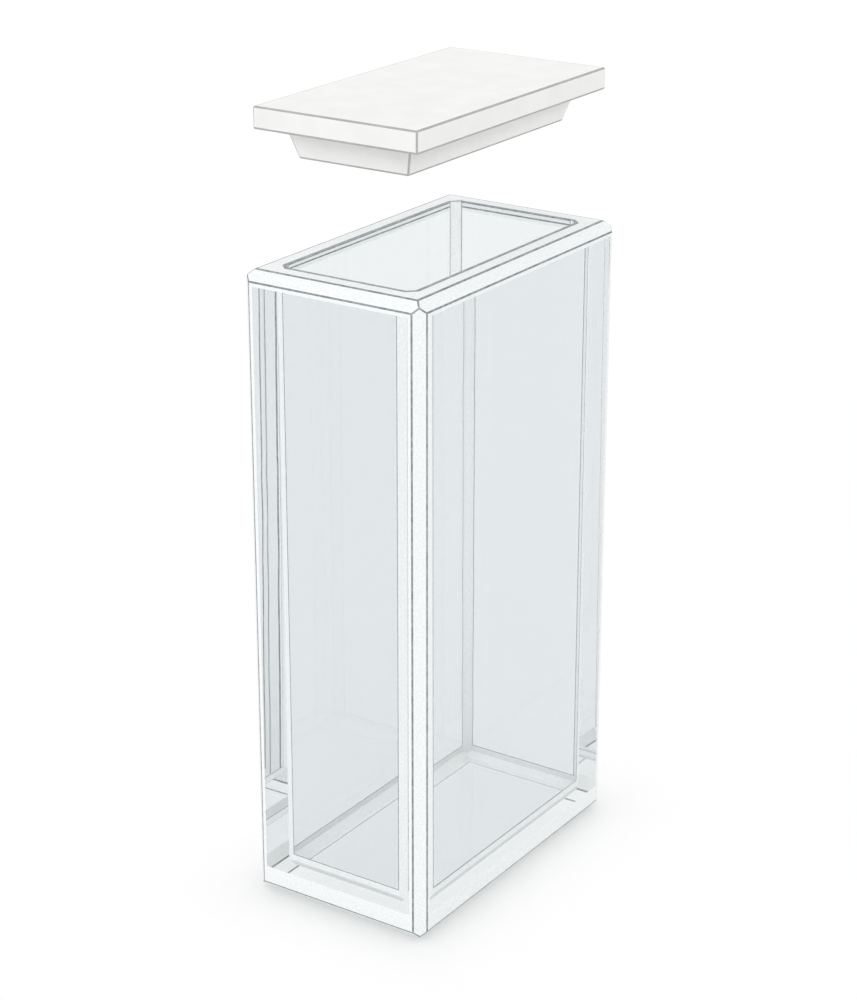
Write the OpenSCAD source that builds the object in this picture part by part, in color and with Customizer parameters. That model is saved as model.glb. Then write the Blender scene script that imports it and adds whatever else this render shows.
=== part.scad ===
// Rectangular optical cell (cuvette) with a loose lid that plugs into its mouth.
// Millimetres, +Z up. The origin is the middle of the cell's underside.
// X runs along the cell's long light path and Y across it.

/* [Cell] */
// Inside length, the long light path
path_length = 20; // [5:1:50]
// Inside width, the short light path
path_width = 10; // [4:1:20]
// Outside height from the underside to the rim
cell_height = 45; // [20:1:70]
// Thickness of the four walls
wall = 2; // [1.25:0.25:4]
// Thickness of the base
base = 2; // [1.25:0.25:6]
// Leg of the 45 degree chamfer ground along every outside edge
edge_chamfer = 0.7; // [0.2:0.1:0.9]

/* [Lid] */
// Thickness of the plate that covers the mouth
plate_thickness = 1.5; // [1:0.25:4]
// Distance from the edge of the rim's flat to the edge of the plate
plate_setback = 0.1; // [0:0.05:0.3]
// Distance that the plug reaches down into the mouth
plug_depth = 2; // [1:0.25:6]
// Gap on each side between the mouth and the plug at its widest
plug_clearance = 0.25; // [0.1:0.05:0.5]
// Distance that each side of the plug slopes in over its depth
plug_taper = 0.6; // [0.1:0.1:1]
// Height of the lid above its seat on the rim
lid_lift = 9; // [0:0.5:30]

/* [Hidden] */

// Outside of the cell, worked out from its cavity and its walls
cell_length = path_length + 2 * wall;
cell_width = path_width + 2 * wall;
cavity_depth = cell_height - base;

// The plate ends just inside the rim's flat, which starts where the chamfer stops
plate_inset = edge_chamfer + plate_setback;
plate_length = cell_length - 2 * plate_inset;
plate_width = cell_width - 2 * plate_inset;

// The plug follows the mouth at a clearance, and tapers from there
plug_length = path_length - 2 * plug_clearance;
plug_width = path_width - 2 * plug_clearance;

// The plate's underside, where the lid is lifted clear of the rim
lid_z = cell_height + lid_lift;

glass_tint = [0.85, 0.89, 0.91, 0.45];
lid_white = [0.96, 0.96, 0.95];

// A rectangle of size a by b about the origin, with its four corners cut back by leg
module chamfered_rectangle(a, b, leg) {
    polygon([
        [a / 2 - leg, -b / 2], [a / 2, leg - b / 2],
        [a / 2, b / 2 - leg], [a / 2 - leg, b / 2],
        [leg - a / 2, b / 2], [-a / 2, b / 2 - leg],
        [-a / 2, leg - b / 2], [leg - a / 2, -b / 2]
    ]);
}

// A block that stands on the origin, with all twelve edges chamfered: what three
// chamfered prisms, one along each axis, have in common
module chamfered_block(length, width, height, leg) {
    translate([0, 0, height / 2])
        intersection() {
            linear_extrude(height, center = true)
                chamfered_rectangle(length, width, leg);
            rotate([90, 0, 0])
                linear_extrude(width, center = true)
                    chamfered_rectangle(length, height, leg);
            rotate([90, 0, 90])
                linear_extrude(length, center = true)
                    chamfered_rectangle(width, height, leg);
        }
}

// A bar along Y, below the origin, whose section narrows downwards by taper on each side
module tapered_bar(top_width, depth, taper, length) {
    rotate([90, 0, 0])
        linear_extrude(length, center = true)
            polygon([
                [-top_width / 2, 0], [taper - top_width / 2, -depth],
                [top_width / 2 - taper, -depth], [top_width / 2, 0]
            ]);
}

// A rectangular plug below the origin that tapers on all four sides
module tapered_plug(length, width, depth, taper) {
    intersection() {
        tapered_bar(length, depth, taper, width);
        rotate([0, 0, 90])
            tapered_bar(width, depth, taper, length);
    }
}

// The glass cell: four walls and a base fused into one piece, open at the top
module cell() {
    color(glass_tint)
        difference() {
            chamfered_block(cell_length, cell_width, cell_height, edge_chamfer);
            translate([-path_length / 2, -path_width / 2, base])
                cube([path_length, path_width, cavity_depth + 1]);
        }
}

// The lid: a flat plate that lies on the rim, with a plug that centres it in the mouth
module lid() {
    color(lid_white)
        translate([0, 0, lid_z]) {
            translate([-plate_length / 2, -plate_width / 2, 0])
                cube([plate_length, plate_width, plate_thickness]);
            tapered_plug(plug_length, plug_width, plug_depth, plug_taper);
        }
}

cell();
lid();
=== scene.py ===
# %% [markdown]
# # A glass cuvette and its lid
#
# A cuvette is a small cell that holds a liquid in a beam of light. This one is made
# of optical glass: four polished walls and a base, fused into one piece that is open
# at the top, with its outside edges ground to a chamfer. A loose white lid hovers over
# the mouth. The lesson builds both pieces, gives each the finish of the real material,
# and sets them on a white table under soft light.
#
# Everything is in metres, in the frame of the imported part, so the first cell loads it.

# %% Load the frame
import math

import bmesh
import bpy
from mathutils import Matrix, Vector


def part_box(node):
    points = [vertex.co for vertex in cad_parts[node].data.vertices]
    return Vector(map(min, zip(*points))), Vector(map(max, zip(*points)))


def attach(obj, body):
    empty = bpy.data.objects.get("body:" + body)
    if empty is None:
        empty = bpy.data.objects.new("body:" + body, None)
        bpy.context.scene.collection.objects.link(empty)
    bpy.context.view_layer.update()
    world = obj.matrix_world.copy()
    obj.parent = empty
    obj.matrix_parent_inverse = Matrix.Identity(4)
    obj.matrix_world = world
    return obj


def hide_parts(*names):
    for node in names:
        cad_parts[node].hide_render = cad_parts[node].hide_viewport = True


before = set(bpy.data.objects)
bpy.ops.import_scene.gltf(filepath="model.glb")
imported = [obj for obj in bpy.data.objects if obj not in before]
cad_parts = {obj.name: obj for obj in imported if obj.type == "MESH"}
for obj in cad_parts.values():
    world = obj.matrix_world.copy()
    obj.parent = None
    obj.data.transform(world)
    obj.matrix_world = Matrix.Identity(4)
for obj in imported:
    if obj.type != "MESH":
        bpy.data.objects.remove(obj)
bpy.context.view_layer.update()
MM = 0.001
TOUCH = 0.01 * MM  # two things that are closer than this are at the same place

# %% [markdown]
# ## Small helpers
#
# Paint makers and screens give colours as sRGB hex values, but a shader works on linear
# light, so one function turns the one into the other. A second adds a node to a tree
# with its settings and its links, which keeps each material and each shape short enough
# to read as a recipe. A third starts a material.


# %% Helpers
def linear(hex_colour):
    """An sRGB hex colour such as "E0E6E8" as linear light, with an alpha of 1."""
    parts = [int(hex_colour[i : i + 2], 16) / 255 for i in (0, 2, 4)]
    light = [c / 12.92 if c <= 0.04045 else ((c + 0.055) / 1.055) ** 2.4 for c in parts]
    return (*light, 1.0)


def add(tree, kind, inputs=None, **settings):
    """A new node in tree. inputs maps a socket's name or number to a value, or to a
    node or an output socket that is linked to it."""
    made = tree.nodes.new(kind)
    for name, value in settings.items():
        setattr(made, name, value)
    for name, value in (inputs or {}).items():
        socket = made.inputs[name]
        if isinstance(value, bpy.types.Node):
            value = next(o for o in value.outputs if o.enabled)
        if isinstance(value, bpy.types.NodeSocket):
            tree.links.new(value, socket)
        else:
            socket.default_value = value
    return made


def new_material(name):
    """An empty node material, with its tree and its output node."""
    material = bpy.data.materials.new(name)
    material.use_nodes = True
    material.node_tree.nodes.clear()
    output = add(material.node_tree, "ShaderNodeOutputMaterial")
    return material, material.node_tree, output


# %% [markdown]
# ### Two nodes that come back
#
# No real surface has one flat colour, so each material mixes two that are close to each
# other. What decides between them is mostly a noise with grains of a real size. It
# reads the coordinates of the piece that it is on, so the pattern moves along with it.


# %% Mix and noise
def mixed(tree, factor, first, second, blend_type="MIX"):
    """The colour socket of a mix, in which a factor of 0 gives the first colour."""
    mix = add(
        tree,
        "ShaderNodeMix",
        {0: factor, 6: first, 7: second},
        data_type="RGBA",
        blend_type=blend_type,
    )
    return mix.outputs[2]


def grains(tree, size, detail, roughness=0.5):
    """A noise with grains of about this size, fixed to the piece that it is on."""
    return add(
        tree,
        "ShaderNodeTexNoise",
        {
            "Vector": add(tree, "ShaderNodeTexCoord").outputs["Object"],
            "Scale": 1 / size,
            "Detail": detail,
            "Roughness": roughness,
        },
    )


# %% [markdown]
# ## Colour as written
#
# Blender's usual view transform softens whites and colours the way film does. The
# Standard view leaves them alone, so a surface that is lit at a plain level comes out
# in the colour that its material was given. White things on a white table need that.

# %% View
bpy.context.scene.view_settings.view_transform = "Standard"

# %% [markdown]
# ## The camera
#
# The cell is seen from above and a little to the left of its near corner, from close
# by with a long lens. Two angles and a distance from a point near the cell's axis say
# that more plainly than a position and a rotation would.

# %% Camera
VIEW_AZIMUTH, VIEW_ELEVATION = math.radians(-56.1), math.radians(21.4)
VIEW_DISTANCE = 174.7 * MM
LENS = 91.5
look_at = Vector((0, 0.5, 26.7)) * MM


def direction(azimuth, elevation):
    """The way to a place that is seen at these angles from the middle. Azimuth 0 is
    the front, on the -Y side, and it grows towards +X."""
    level = math.cos(elevation)
    return Vector(
        (math.sin(azimuth) * level, -math.cos(azimuth) * level, math.sin(elevation))
    )


towards_camera = direction(VIEW_AZIMUTH, VIEW_ELEVATION)
camera_data = bpy.data.cameras.new("camera")
camera_data.lens = LENS
camera_data.sensor_width = 36
camera_data.clip_start = 0.01
camera_data.clip_end = 50
camera = bpy.data.objects.new("camera", camera_data)
camera.location = look_at + towards_camera * VIEW_DISTANCE
camera.rotation_euler = towards_camera.to_track_quat("Z", "Y").to_euler()
bpy.context.scene.collection.objects.link(camera)
bpy.context.scene.camera = camera
print("camera at", [round(c / MM, 1) for c in camera.location], "mm")

# %% [markdown]
# ## The sizes of the cell
#
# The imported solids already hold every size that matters, so they are read from there
# and not written again. The box of a node gives its outside. The cavity's floor and
# walls show as the vertices that lie inside that box.


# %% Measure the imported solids
def levels(node, axis):
    """The different coordinates of a node's vertices along an axis, in order."""
    return sorted({round(v.co[axis], 7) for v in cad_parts[node].data.vertices})


cell_low, cell_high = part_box("cell")
LENGTH, WIDTH, HEIGHT = cell_high - cell_low
# across: the cavity's wall, where a flat face ends, a corner's point, the outside
inner_level, flat_level, _, outside_level = [y for y in levels("cell", 1) if y > 0]
# upwards: the underside, a corner's point, where a flat face starts, the cavity's floor
_, _, _, BASE, *_ = levels("cell", 2)
CHAMFER = outside_level - flat_level
WALL = outside_level - inner_level
print("outside", [round(s / MM, 2) for s in (LENGTH, WIDTH, HEIGHT)], "mm")
print("wall, base, chamfer", [round(s / MM, 2) for s in (WALL, BASE, CHAMFER)], "mm")

# %% [markdown]
# ## Light through glass
#
# Cycles can't follow a lamp's light through real glass without noise. So wherever a ray
# only asks how much light reaches a surface, the glass lets it straight through. The
# camera, and what it sees mirrored or bent, still get the real glass. Every finish of
# the glass ends in this switch.
#
# Frost holds some light back. A ray that meets it from outside, such as one from the
# table, loses a part there, and that leaves a soft shadow round the foot of the cell. A
# ray that meets it from inside the glass loses none, so frost that is seen through the
# glass stays as bright as it really is.


# %% The switch
CLEAR = linear("FFFFFF")


def let_light_through(tree, shader, output, hex_from_outside=None):
    """Shows shader to the rays that are seen, and clear glass to those that light."""
    clear = add(tree, "ShaderNodeBsdfTransparent", {"Color": CLEAR})
    if hex_from_outside:
        from_inside = add(tree, "ShaderNodeNewGeometry").outputs["Backfacing"]
        passed = mixed(tree, from_inside, linear(hex_from_outside), CLEAR)
        tree.links.new(passed, clear.inputs["Color"])
    ray = add(tree, "ShaderNodeLightPath").outputs
    for name in ("Is Diffuse Ray", "Is Shadow Ray"):
        shader = add(tree, "ShaderNodeMixShader", {0: ray[name], 1: shader, 2: clear})
    tree.links.new(shader.outputs[0], output.inputs["Surface"])


# %% [markdown]
# ## The colour of the glass
#
# Glass takes a little colour out of the light on its way. A volume could do that, but
# a volume needs the same material on all the faces round it, and these have several. So
# the faces do it: each one that the light passes tints it once. Light that is mirrored
# to and fro inside a wall goes a longer way, and gets a deeper tint where it ends.


# %% Light that has gone the long way
def mirrored_inside(tree):
    """A factor of 1 for a ray that comes from inside the glass, off another face."""
    from_inside = add(tree, "ShaderNodeNewGeometry").outputs["Backfacing"]
    off_a_face = add(tree, "ShaderNodeLightPath").outputs["Is Reflection Ray"]
    return add(
        tree, "ShaderNodeMath", {0: from_inside, 1: off_a_face}, operation="MULTIPLY"
    )


# %% [markdown]
# ## Optical glass, polished
#
# The windows of a cell are ground and then polished until they are flat to a fraction
# of a micrometre, so nothing on them is rough: what the eye gets is a clear, cool
# grey-blue look through, and a faint mirror of the room.

# %% Polished glass
GLASS_IOR = 1.52
WAVE = 6 * MM  # hand polishing leaves the faces level, but very slightly wavy
polished, tree, output = new_material("optical_glass_polished")
tint = mixed(tree, mirrored_inside(tree), linear("EFF2F3"), linear("CFD7DA"))
wavy = add(
    tree,
    "ShaderNodeBump",
    {"Height": grains(tree, WAVE, 1.0), "Strength": 0.05, "Distance": 0.1 * MM},
)
glass = add(
    tree,
    "ShaderNodeBsdfPrincipled",
    {
        "Base Color": tint,
        "Roughness": 0.0,
        "IOR": GLASS_IOR,
        "Transmission Weight": 1.0,
        "Normal": wavy,
    },
)
let_light_through(tree, glass, output)

# %% [markdown]
# ## Optical glass, ground
#
# The chamfers, the rim, the underside and a border round each window are ground with a
# fine grit and left so. Each grain leaves a pit, and the pits scatter light until the
# glass looks like frost: white, matt, and without a mirror image in it. The white
# wavers a little from grain to grain.
#
# Rough transmission would be the true way to make frost, but through thick glass it
# mostly shows the dark inside. A plain white skin, which is what daylight makes of
# frost, comes nearer and has less noise.

# %% Ground glass
GRAIN = 0.15 * MM  # the grit is finer, but a pit has to be as coarse as this to show
PASSED_BY_FROST = "BEC3C3"
ground, tree, output = new_material("optical_glass_ground")
pits = grains(tree, GRAIN, 2.0, 0.6)
whiteness = add(
    tree, "ShaderNodeMapRange", {"Value": pits, "From Min": 0.35, "From Max": 0.65}
)
frosted = mixed(tree, whiteness, linear("F1F5F6"), linear("FFFFFF"))
tinted = mixed(tree, mirrored_inside(tree), frosted, linear("F4F6F7"), "MULTIPLY")
pitted = add(
    tree, "ShaderNodeBump", {"Height": pits, "Strength": 0.5, "Distance": 0.03 * MM}
)
frost = add(
    tree,
    "ShaderNodeBsdfPrincipled",
    {
        "Base Color": tinted,
        "Roughness": 0.75,
        "IOR": GLASS_IOR,
        "Specular IOR Level": 0.2,
        "Normal": pitted,
    },
)
let_light_through(tree, frost, output, PASSED_BY_FROST)

# %% [markdown]
# ## Optical glass, at the arris, with painted shade
#
# Where two faces meet, the sharp edge is taken off with a last light touch of the stone.
# The narrow face that this leaves, the arris, is neither polished nor evenly ground, and
# it bends the light aside. The fine dark line that this gives is painted here as a grey,
# with small nicks along it.

# %% Arris
NICK = 0.4 * MM
arris, tree, output = new_material("optical_glass_arris_painted_shade")
nicks = grains(tree, NICK, 3.0, 0.7)
uneven = add(
    tree, "ShaderNodeMapRange", {"Value": nicks, "From Min": 0.35, "From Max": 0.7}
)
# a painted grey that stands for the shade of the arris
painted_grey = mixed(tree, uneven, linear("707C7F"), linear("A8B1B4"))
arris_shade_shader = add(
    tree,
    "ShaderNodeBsdfPrincipled",
    {"Base Color": painted_grey, "Roughness": 0.4, "IOR": GLASS_IOR},
)
let_light_through(tree, arris_shade_shader, output, PASSED_BY_FROST)

# %% [markdown]
# ## The cell
#
# The cell could be modelled by hand from a box, with bevels and an inset. But it
# follows a rule with sizes in it, and Geometry Nodes suit that well: change a size, and
# the faces, the chamfers and the finishes all follow.
#
# A box with all its edges chamfered is the convex hull of a few plain boxes, each cut
# short along some of its sides. The block is such a box, and the cavity is one more
# that is taken out of it, so one small tree serves them both.

# %% A tree for a chamfered box with framed faces
framed_box = bpy.data.node_groups.new("framed_box", "GeometryNodeTree")
tree = framed_box
tree.interface.new_socket("Size", in_out="INPUT", socket_type="NodeSocketVector")
for name in ("Chamfer", "Side", "Head", "Foot"):
    tree.interface.new_socket(name, in_out="INPUT", socket_type="NodeSocketFloat")
tree.interface.new_socket("Floor Too", in_out="INPUT", socket_type="NodeSocketBool")
tree.interface.new_socket("Box", in_out="OUTPUT", socket_type="NodeSocketGeometry")
asked = add(tree, "NodeGroupInput").outputs
boxes = add(tree, "GeometryNodeJoinGeometry")
# the last one of these gives each corner its point
for chamfers_off in ((0, 2, 2), (2, 0, 2), (2, 2, 0), (1, 1, 1)):
    taken_off = add(
        tree,
        "ShaderNodeVectorMath",
        {0: chamfers_off, "Scale": asked["Chamfer"]},
        operation="SCALE",
    )
    size = add(
        tree,
        "ShaderNodeVectorMath",
        {0: asked["Size"], 1: taken_off},
        operation="SUBTRACT",
    )
    box = add(tree, "GeometryNodeMeshCube", {"Size": size})
    tree.links.new(box.outputs["Mesh"], boxes.inputs[0])
hull = add(tree, "GeometryNodeConvexHull", {0: boxes})

# %% [markdown]
# ### The frames
#
# Polish stops a little short of every edge and leaves a ground frame. On the outside
# the frame is narrow, and at the foot it is as tall as the base. In the cavity it is
# widest round the floor, where the walls are fused to the base.
#
# Extruding a face by nothing leaves a copy of it on top and four empty faces round
# it. When the corners of the copy are drawn in, the four become the frame. Only the
# copy is marked as polished.

# %% The faces that get a frame
SQUARE = 0.99  # a normal with a part as large as this points along an axis
normal = add(tree, "GeometryNodeInputNormal")
facing = add(tree, "ShaderNodeVectorMath", {0: normal}, operation="ABSOLUTE")
facing = add(tree, "ShaderNodeSeparateXYZ", {0: facing}).outputs
sideways = add(
    tree, "ShaderNodeMath", {0: facing[0], 1: facing[1]}, operation="MAXIMUM"
)
upright = add(
    tree, "ShaderNodeMath", {0: facing[2], 1: asked["Floor Too"]}, operation="MULTIPLY"
)
squarest = add(tree, "ShaderNodeMath", {0: sideways, 1: upright}, operation="MAXIMUM")
is_square = add(
    tree, "FunctionNodeCompare", {0: squarest, 1: SQUARE}, operation="GREATER_THAN"
)
framed = add(
    tree,
    "GeometryNodeExtrudeMesh",
    {"Mesh": hull, "Selection": is_square, "Offset Scale": 0.0},
)

# %% The ways in which a corner is drawn in
# Along its normal, a framed face reaches the outside of the box. Along the other two
# axes its corners are a whole chamfer short of that. A quarter of a chamfer tells which
# is which.
position = add(tree, "GeometryNodeInputPosition")
outwards = add(tree, "ShaderNodeVectorMath", {0: position}, operation="ABSOLUTE")
half = add(
    tree, "ShaderNodeVectorMath", {0: asked["Size"], "Scale": 0.5}, operation="SCALE"
)
short_of = add(
    tree, "ShaderNodeVectorMath", {0: half, 1: outwards}, operation="SUBTRACT"
)
quarter = add(
    tree, "ShaderNodeMath", {0: asked["Chamfer"], 1: 0.25}, operation="MULTIPLY"
)
in_plane = add(
    tree, "ShaderNodeVectorMath", {0: short_of, 1: quarter}, operation="SUBTRACT"
)
in_plane = add(tree, "ShaderNodeVectorMath", {0: in_plane}, operation="SIGN")
in_plane = add(
    tree, "ShaderNodeVectorMath", {0: in_plane, 1: (0, 0, 0)}, operation="MAXIMUM"
)

# %% How far a corner is drawn in
# a wall has its own widths at its sides, head and foot, and a floor has the foot's
# width all round
height = add(tree, "ShaderNodeSeparateXYZ", {0: position}).outputs[2]
in_lower_half = add(
    tree, "FunctionNodeCompare", {0: height, 1: 0.0}, operation="LESS_THAN"
)
on_wall = add(tree, "ShaderNodeSeparateXYZ", {0: in_plane}).outputs[2]
across = add(tree, "ShaderNodeMix", {0: on_wall, 2: asked["Foot"], 3: asked["Side"]})
upwards = add(
    tree,
    "GeometryNodeSwitch",
    {"Switch": in_lower_half, "False": asked["Head"], "True": asked["Foot"]},
    input_type="FLOAT",
)
widths = add(tree, "ShaderNodeCombineXYZ", {0: across, 1: across, 2: upwards})
step = add(tree, "ShaderNodeVectorMath", {0: position}, operation="SIGN")
step = add(tree, "ShaderNodeVectorMath", {0: step, 1: widths}, operation="MULTIPLY")
step = add(tree, "ShaderNodeVectorMath", {0: step, 1: in_plane}, operation="MULTIPLY")
step = add(tree, "ShaderNodeVectorMath", {0: step, "Scale": -1.0}, operation="SCALE")
drawn_in = add(
    tree,
    "GeometryNodeSetPosition",
    {"Geometry": framed, "Selection": framed.outputs["Top"], "Offset": step},
)
marked = add(
    tree,
    "GeometryNodeStoreNamedAttribute",
    {"Geometry": drawn_in, "Name": "polished", "Value": framed.outputs["Top"]},
    data_type="BOOLEAN",
    domain="FACE",
)
add(tree, "NodeGroupOutput", {0: marked})
print("the tree of a framed box has", len(tree.nodes), "nodes")

# %% [markdown]
# ### Block and cavity
#
# The main tree places two framed boxes and takes one out of the other. The inner
# edges of the cavity are chamfered too: that is the fused seam, where the glass of
# one wall has run into the next. The marks of the polished faces go through the
# Boolean, and the last nodes turn them into materials.

# %% A tree for the cell
fused_cell = bpy.data.node_groups.new("fused_cell", "GeometryNodeTree")
tree = fused_cell
for name in (
    *("Length", "Width", "Height", "Wall", "Base", "Chamfer"),
    *("Border", "Fused Edge", "Upright Seam", "Floor Seam"),
):
    tree.interface.new_socket(name, in_out="INPUT", socket_type="NodeSocketFloat")
for name in ("Polished", "Ground"):
    tree.interface.new_socket(name, in_out="INPUT", socket_type="NodeSocketMaterial")
tree.interface.new_socket("Cell", in_out="OUTPUT", socket_type="NodeSocketGeometry")
sizes = add(tree, "NodeGroupInput").outputs
full = add(
    tree,
    "ShaderNodeCombineXYZ",
    {0: sizes["Length"], 1: sizes["Width"], 2: sizes["Height"]},
)
base_above_chamfer = add(
    tree,
    "ShaderNodeMath",
    {0: sizes["Base"], 1: sizes["Chamfer"]},
    operation="SUBTRACT",
)
block = tree.nodes.new("GeometryNodeGroup")
block.node_tree = framed_box
for name, source in (
    ("Size", full.outputs[0]),
    ("Chamfer", sizes["Chamfer"]),
    ("Side", sizes["Border"]),
    ("Head", sizes["Border"]),
    ("Foot", base_above_chamfer.outputs[0]),
):
    tree.links.new(source, block.inputs[name])

# %% The cavity
# it is as much smaller as the walls are thick, stands on the base, and is taller than
# the block by as much as it is raised
two_walls = add(
    tree,
    "ShaderNodeVectorMath",
    {0: (2, 2, 0), "Scale": sizes["Wall"]},
    operation="SCALE",
)
cavity_size = add(
    tree, "ShaderNodeVectorMath", {0: full, 1: two_walls}, operation="SUBTRACT"
)
cavity = tree.nodes.new("GeometryNodeGroup")
cavity.node_tree = framed_box
cavity.inputs["Floor Too"].default_value = True
for name, source in (
    ("Size", cavity_size.outputs[0]),
    ("Chamfer", sizes["Fused Edge"]),
    ("Side", sizes["Upright Seam"]),
    ("Head", sizes["Upright Seam"]),
    ("Foot", sizes["Floor Seam"]),
):
    tree.links.new(source, cavity.inputs[name])
rise = add(tree, "ShaderNodeCombineXYZ", {2: sizes["Base"]})
raised = add(tree, "GeometryNodeTransform", {"Geometry": cavity, "Translation": rise})

# %% Hollow, stand up and finish
hollow = add(
    tree,
    "GeometryNodeMeshBoolean",
    {"Mesh 1": block, "Mesh 2": raised},
    operation="DIFFERENCE",
    solver="EXACT",
)
half_height = add(
    tree, "ShaderNodeVectorMath", {0: full, 1: (0, 0, 0.5)}, operation="MULTIPLY"
)
standing = add(
    tree, "GeometryNodeTransform", {"Geometry": hollow, "Translation": half_height}
)
real = add(tree, "GeometryNodeRealizeInstances", {0: standing})
rough = add(tree, "GeometryNodeSetMaterial", {0: real, "Material": sizes["Ground"]})
marks = add(
    tree, "GeometryNodeInputNamedAttribute", {"Name": "polished"}, data_type="BOOLEAN"
)
finished = add(
    tree,
    "GeometryNodeSetMaterial",
    {0: rough, "Selection": marks, "Material": sizes["Polished"]},
)
add(tree, "NodeGroupOutput", {0: finished})
print("the tree of the cell has", len(tree.nodes), "nodes")

# %% [markdown]
# ### From the tree to a plain mesh
#
# The modifier gets its sizes by the identifiers of the tree's sockets, is evaluated
# once, and is then thrown away: what stays is a plain mesh.


# %% Run a tree
def made_by(tree, values, name):
    """A plain mesh object with what the geometry tree makes of these inputs."""
    maker = bpy.data.objects.new("maker", bpy.data.meshes.new("maker"))
    bpy.context.scene.collection.objects.link(maker)
    modifier = maker.modifiers.new("maker", "NODES")
    modifier.node_group = tree
    for item in tree.interface.items_tree:
        if item.in_out == "INPUT":
            modifier[item.identifier] = values[item.name]
    graph = bpy.context.evaluated_depsgraph_get()
    mesh = bpy.data.meshes.new_from_object(maker.evaluated_get(graph), depsgraph=graph)
    bpy.data.objects.remove(maker)
    mesh.name = name
    if mesh.materials[0] is None:  # Set Material leaves an empty slot in front
        mesh.materials.pop(index=0)
    piece = bpy.data.objects.new(name, mesh)
    bpy.context.scene.collection.objects.link(piece)
    return piece


FUSED_EDGE = 0.45 * MM  # the lid's plug has to pass between four of these
cell = made_by(
    fused_cell,
    {
        "Length": LENGTH,
        "Width": WIDTH,
        "Height": HEIGHT,
        "Wall": WALL,
        "Base": BASE,
        "Chamfer": CHAMFER,
        "Border": 0.3 * MM,
        "Fused Edge": FUSED_EDGE,
        "Upright Seam": 0.1 * MM,
        "Floor Seam": 0.45 * MM,
        "Polished": polished,
        "Ground": ground,
    },
    "cell_glass",
)
print("cell:", len(cell.data.polygons), "faces as they leave the tree")

# %% [markdown]
# ### The edges of the glass
#
# The arrises of the outside are a real bevel, a few hundredths of a millimetre wide,
# with a finish of its own: a grey that paints the shade of the arris. A bevel modifier
# makes it, on the edges that a weight picks out. Round the panes of the cavity, where
# the polish runs out, and along both edges of the rim, flat lines of the same painted
# grey go on as well. There the mesh gets narrow faces in the plane of their neighbour.
#
# The Boolean leaves flat faces in parts. They are joined first, because an inset
# follows the outline of a face. The rim has a hole in it, so it stays in two parts.

# %% Tidy the faces
FLAT = math.radians(1)  # neighbours that turn by less than this lie in one plane


def join_flat_faces(shape):
    """Makes one face of neighbours that lie in one plane and share a material."""
    bmesh.ops.dissolve_limit(
        shape,
        angle_limit=FLAT,
        verts=shape.verts,
        edges=shape.edges,
        delimit={"MATERIAL"},
    )


def in_cavity(thing, beyond=0.0):
    """Whether all of a face or an edge is within the walls' inner faces, or on them, or
    no farther beyond them than this."""
    x, y = (size / 2 - WALL + beyond + TOUCH for size in (LENGTH, WIDTH))
    return all(abs(v.co.x) < x and abs(v.co.y) < y for v in thing.verts)


def on_rim(thing):
    """Whether all of a face or an edge is at the height where the lid lies."""
    return all(v.co.z > HEIGHT - TOUCH for v in thing.verts)


shape = bmesh.new()
shape.from_mesh(cell.data)
bmesh.ops.remove_doubles(shape, verts=shape.verts, dist=0.1 * TOUCH)
join_flat_faces(shape)
bmesh.ops.recalc_face_normals(shape, faces=shape.faces)
print(len(shape.faces), "faces once the flat ones are joined")

# %% Where the rim is cut
# The cuts end a little beside a corner of the mouth, which would leave slivers, so
# their ends move to that corner.
for cut in [e for e in shape.edges if all(on_rim(f) for f in e.link_faces)]:
    end = next(v for v in cut.verts if abs(v.co.x) < LENGTH / 2 - WALL)
    others = [e.other_vert(end) for e in end.link_edges if e != cut]
    corner = min(others, key=lambda v: (v.co - end.co).length)
    place = corner.co.copy()
    bmesh.ops.pointmerge(shape, verts=[end, corner], merge_co=place)
    print("the rim is cut at", [round(c / MM, 2) for c in place.xy], "mm")

# %% Lines of painted shade round the panes and along the rim
# the painted line round the mouth is the widest
PANE_LINE, RIM_LINE, MOUTH_LINE = 0.06 * MM, 0.15 * MM, 0.3 * MM
painted_shade_slot = len(cell.data.materials)  # soften_edges fills it
polished_slot = cell.data.materials.find(polished.name)
panes = [f for f in shape.faces if in_cavity(f) and f.material_index == polished_slot]
inset = bmesh.ops.inset_individual(
    shape, faces=panes, thickness=PANE_LINE, use_even_offset=True
)
lines = inset["faces"]
rim = [f for f in shape.faces if on_rim(f)]
everywhere = LENGTH
# both edges of the rim get a line, and then the one round the mouth is made wider
for thickness, beyond in (
    (RIM_LINE, everywhere),
    (MOUTH_LINE - RIM_LINE, MOUTH_LINE),
):
    inset = bmesh.ops.inset_region(
        shape, faces=rim, thickness=thickness, use_boundary=True, use_even_offset=True
    )
    lines += [f for f in inset["faces"] if in_cavity(f, beyond)]
for face in lines:
    face.material_index = painted_shade_slot
join_flat_faces(shape)
print(len(lines), "faces are lines,", len(panes), "panes are in the cavity")

# %% Soften the edges
TURN = math.radians(20)  # an edge whose faces turn by more than this is a real edge
ARRIS_WIDTH = 0.07 * MM


def weigh_edges(shape, wanted):
    """Gives a bevel weight to the real edges for which wanted says yes."""
    weight = shape.edges.layers.float.new("bevel_weight_edge")
    for edge in shape.edges:
        edge[weight] = float(edge.calc_face_angle() > TURN and wanted(edge))


def soften_edges(piece, width, segments, finish):
    """A live bevel with a finish of its own, on the edges that have a bevel weight. A
    rounded one is shaded smooth, and keeps the shading of the flat faces flat."""
    bevel = piece.modifiers.new("softened_edges", "BEVEL")
    bevel.width = width
    bevel.segments = segments
    bevel.limit_method = "WEIGHT"
    bevel.material = len(piece.data.materials)
    piece.data.materials.append(finish)
    if segments > 1:
        bevel.harden_normals = True
        piece.data.shade_smooth()


weigh_edges(shape, lambda edge: not in_cavity(edge))
shape.to_mesh(cell.data)
shape.free()
# the outside arrises get the painted grey of shade
soften_edges(cell, ARRIS_WIDTH, 1, arris)
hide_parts("cell")
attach(cell, "cell")
print(len(cell.data.polygons), "faces,", [m.name for m in cell.data.materials])

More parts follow.
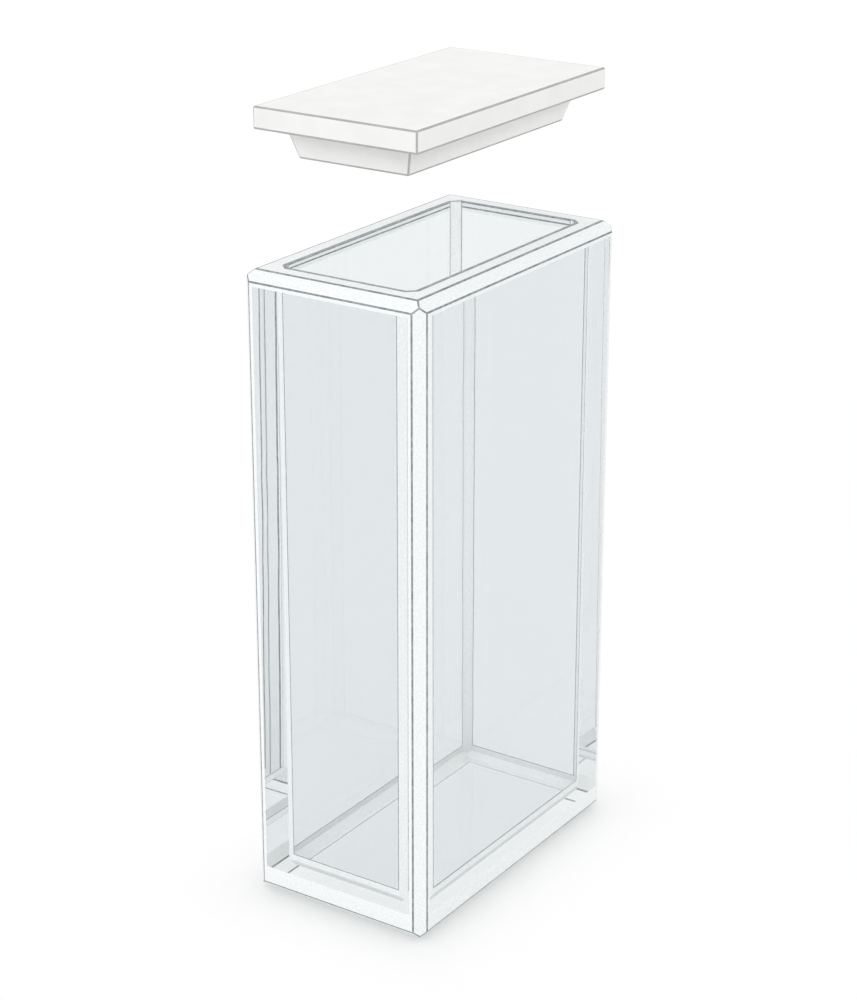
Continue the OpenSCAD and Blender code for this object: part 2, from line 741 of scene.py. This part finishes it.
# %% [markdown]
# ## White fluoropolymer
#
# The lid is moulded from the white, waxy plastic that no solvent harms. It is dense
# and scatters light below its skin, so it looks soft and milky, with a dull sheen and
# hardly a highlight. The grains that it was pressed from show as a faint cloudiness,
# and the tool left a fine grain on the skin.

# %% The plastic
CLOUD = 2.5 * MM
SKIN_GRAIN = 0.3 * MM
PLASTIC_IOR = 1.38
fluoropolymer, tree, output = new_material("fluoropolymer_moulded")
clouds = grains(tree, CLOUD, 4.0, 0.6)
shade = mixed(tree, clouds, linear("EBEBE8"), linear("FBFBFA"))
skin = grains(tree, SKIN_GRAIN, 4.0, 0.6)
dull = add(
    tree, "ShaderNodeMapRange", {"Value": skin, "To Min": 0.38, "To Max": 0.56}
)
grained = add(
    tree, "ShaderNodeBump", {"Height": skin, "Strength": 0.5, "Distance": 0.03 * MM}
)
plastic = add(
    tree,
    "ShaderNodeBsdfPrincipled",
    {
        "Base Color": shade,
        "Roughness": dull,
        "IOR": PLASTIC_IOR,
        "Subsurface Weight": 0.3,
        "Subsurface Scale": 0.4 * MM,
        "Subsurface Radius": (1, 1, 1),
        "Normal": grained,
    },
)
tree.links.new(plastic.outputs[0], output.inputs["Surface"])

# %% [markdown]
# ### The same plastic, with painted shade at the edges
#
# A grey of painted shade goes along the edges of the lid, so that each edge shows as a
# soft dark line. This finish goes on the bevel that rounds each edge, and on a narrow
# band beside it.

# %% The edges of the plastic
EDGE_SHADE_PATCH = 1.5 * MM
edge_shade_finish, tree, output = new_material("fluoropolymer_painted_edge_shade")
edge_shade_patches = grains(tree, EDGE_SHADE_PATCH, 3.0, 0.6)
# a painted grey of shade along the edges, a little uneven
painted_grey = mixed(tree, edge_shade_patches, linear("9C9C99"), linear("C6C6C4"))
edge_shade_shader = add(
    tree,
    "ShaderNodeBsdfPrincipled",
    {"Base Color": painted_grey, "Roughness": 0.55, "IOR": PLASTIC_IOR},
)
tree.links.new(edge_shade_shader.outputs[0], output.inputs["Surface"])

# %% [markdown]
# ## The lid
#
# A flat plate that lies on the rim, and a plug under it that tapers on all four sides so
# that it finds the mouth by itself. Four rings of four corners hold the whole shape, and
# three more mark where the bands of painted edge shade end. It is quickest to write them
# down in mesh code and put faces between them.

# %% The rings of the lid
SEAT_GAP = 0.02 * MM  # the film of air that is left when the lid lies on the rim


def half_sizes(node, height):
    """The half lengths and half widths of a node's corners at a height, in order."""
    corners = [v.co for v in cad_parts[node].data.vertices]
    corners = [c for c in corners if abs(c.z - height) < TOUCH]
    return [sorted({round(abs(c[axis]), 6) for c in corners}) for axis in (0, 1)]


plug_bottom, plate_bottom, plate_top = levels("lid", 2)
(tip_x,), (tip_y,) = half_sizes("lid", plug_bottom)
(neck_x, plate_x), (neck_y, plate_y) = half_sizes("lid", plate_bottom)
seat = plate_bottom + SEAT_GAP
# the painted grey of edge shade reaches this far from the main edges
EDGE_SHADE_REACH = 0.15 * MM  # how far the handled finish reaches from the main edges
tip = Vector((tip_x, tip_y, plug_bottom))
neck = Vector((neck_x, neck_y, seat))
lid_rings = (
    tip,
    tip.lerp(neck, EDGE_SHADE_REACH / (seat - plug_bottom)),
    neck,
    Vector((plate_x, plate_y, seat)),
    Vector((plate_x, plate_y, seat + EDGE_SHADE_REACH)),
    Vector((plate_x, plate_y, plate_top)),
    Vector((plate_x - EDGE_SHADE_REACH, plate_y - EDGE_SHADE_REACH, plate_top)),
)
edge_shade_bands = (0, 3, 5)  # each is counted from the ring that it starts at
print("plate", [round(2 * s / MM, 2) for s in (plate_x, plate_y)], "mm")

# %% Make the lid
# the slot for the painted grey of edge shade
EDGE_SHADE_SLOT = 1  # soften_edges fills it
LID_EDGE_WIDTH = 0.1 * MM
shape = bmesh.new()
rings = []
for x, y, z in lid_rings:
    corners = ((-x, -y, z), (x, -y, z), (x, y, z), (-x, y, z))
    rings.append([shape.verts.new(corner) for corner in corners])
for band, (lower, higher) in enumerate(zip(rings, rings[1:])):
    for i in range(4):
        j = (i + 1) % 4
        face = shape.faces.new((lower[i], lower[j], higher[j], higher[i]))
        face.material_index = EDGE_SHADE_SLOT if band in edge_shade_bands else 0
shape.faces.new(reversed(rings[0]))
shape.faces.new(rings[-1])
bmesh.ops.recalc_face_normals(shape, faces=shape.faces)
weigh_edges(shape, lambda edge: edge.is_convex)  # so the neck's inner corner is sharp
mesh = bpy.data.meshes.new("lid_plastic")
shape.to_mesh(mesh)
shape.free()
lid = bpy.data.objects.new("lid_plastic", mesh)
bpy.context.scene.collection.objects.link(lid)
mesh.materials.append(fluoropolymer)
# the bevels of the lid get the painted grey of edge shade
soften_edges(lid, LID_EDGE_WIDTH, 2, edge_shade_finish)
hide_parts("lid")
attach(lid, "lid")
print("finishes of the lid:", [m.name for m in mesh.materials])

# %% [markdown]
# ## The table
#
# A wide white table and a white room make the background. For the camera, and for
# what glass and gloss show of it, the table adds as much light of its own as it takes
# to come out white. What falls on it is still lit by the lamp and the room alone, so
# the soft shadow of the cell stays.


# %% Table
def seen_by_the_eye(tree):
    """A factor of 1 for the rays that show a thing: straight, mirrored or bent."""
    ray = add(tree, "ShaderNodeLightPath").outputs
    seen = ray["Is Camera Ray"]
    for name in ("Is Glossy Ray", "Is Transmission Ray"):
        seen = add(tree, "ShaderNodeMath", {0: seen, 1: ray[name]}, operation="MAXIMUM")
    return seen


TABLE_SIZE = 6.0
TABLE_GAP = 0.05 * MM  # the air that a hard foot leaves over a hard table
TABLE_GLOW = 0.12
half_table = TABLE_SIZE / 2
corners = [(-1, -1), (1, -1), (1, 1), (-1, 1)]
mesh = bpy.data.meshes.new("table")
mesh.from_pydata(
    [(x * half_table, y * half_table, -TABLE_GAP) for x, y in corners],
    [],
    [(0, 1, 2, 3)],
)
table = bpy.data.objects.new("table", mesh)
bpy.context.scene.collection.objects.link(table)

table_paint, tree, output = new_material("table_paint")
diffuse = add(tree, "ShaderNodeBsdfDiffuse", {"Color": linear("F2F2F2")})
strength = add(
    tree,
    "ShaderNodeMath",
    {0: seen_by_the_eye(tree), 1: TABLE_GLOW},
    operation="MULTIPLY",
)
glow = add(tree, "ShaderNodeEmission", {"Color": (1, 1, 1, 1), "Strength": strength})
both = add(tree, "ShaderNodeAddShader", {0: diffuse, 1: glow})
tree.links.new(both.outputs[0], output.inputs["Surface"])
mesh.materials.append(table_paint)

# %% [markdown]
# ## Light
#
# One very soft lamp from the left gives each face its own brightness, and a pale room
# lights all sides. The room is pure white to the eye, and a little less to what it
# lights, so that no white surface clips.
#
# Light inside a glass wall is mirrored many times before it finds a way out. With the
# usual limit on bounces, the thick edges would turn black.

# %% Room and lamp
BOUNCES = 24
ROOM_LIGHT, ROOM_SEEN = 0.95, 1.0
LAMP_LIGHT, LAMP_WIDTH = 0.35, math.radians(50)
LAMP_AZIMUTH, LAMP_ELEVATION = math.radians(-90), math.radians(35)
for kind in ("max", "glossy", "transmission", "transparent_max"):
    setattr(bpy.context.scene.cycles, kind + "_bounces", BOUNCES)

room = bpy.data.worlds.new("room")
bpy.context.scene.world = room
room.use_nodes = True
tree = room.node_tree
tree.nodes.clear()
white = (1, 1, 1, 1)
air = add(tree, "ShaderNodeBackground", {"Color": white, "Strength": ROOM_LIGHT})
wall = add(tree, "ShaderNodeBackground", {"Color": white, "Strength": ROOM_SEEN})
shown = add(tree, "ShaderNodeMixShader", {0: seen_by_the_eye(tree), 1: air, 2: wall})
add(tree, "ShaderNodeOutputWorld", {"Surface": shown})

lamp_data = bpy.data.lights.new("key_lamp", "SUN")
lamp_data.energy = LAMP_LIGHT
lamp_data.angle = LAMP_WIDTH
lamp = bpy.data.objects.new("key_lamp", lamp_data)
towards_lamp = direction(LAMP_AZIMUTH, LAMP_ELEVATION)
lamp.rotation_euler = towards_lamp.to_track_quat("Z", "Y").to_euler()
bpy.context.scene.collection.objects.link(lamp)
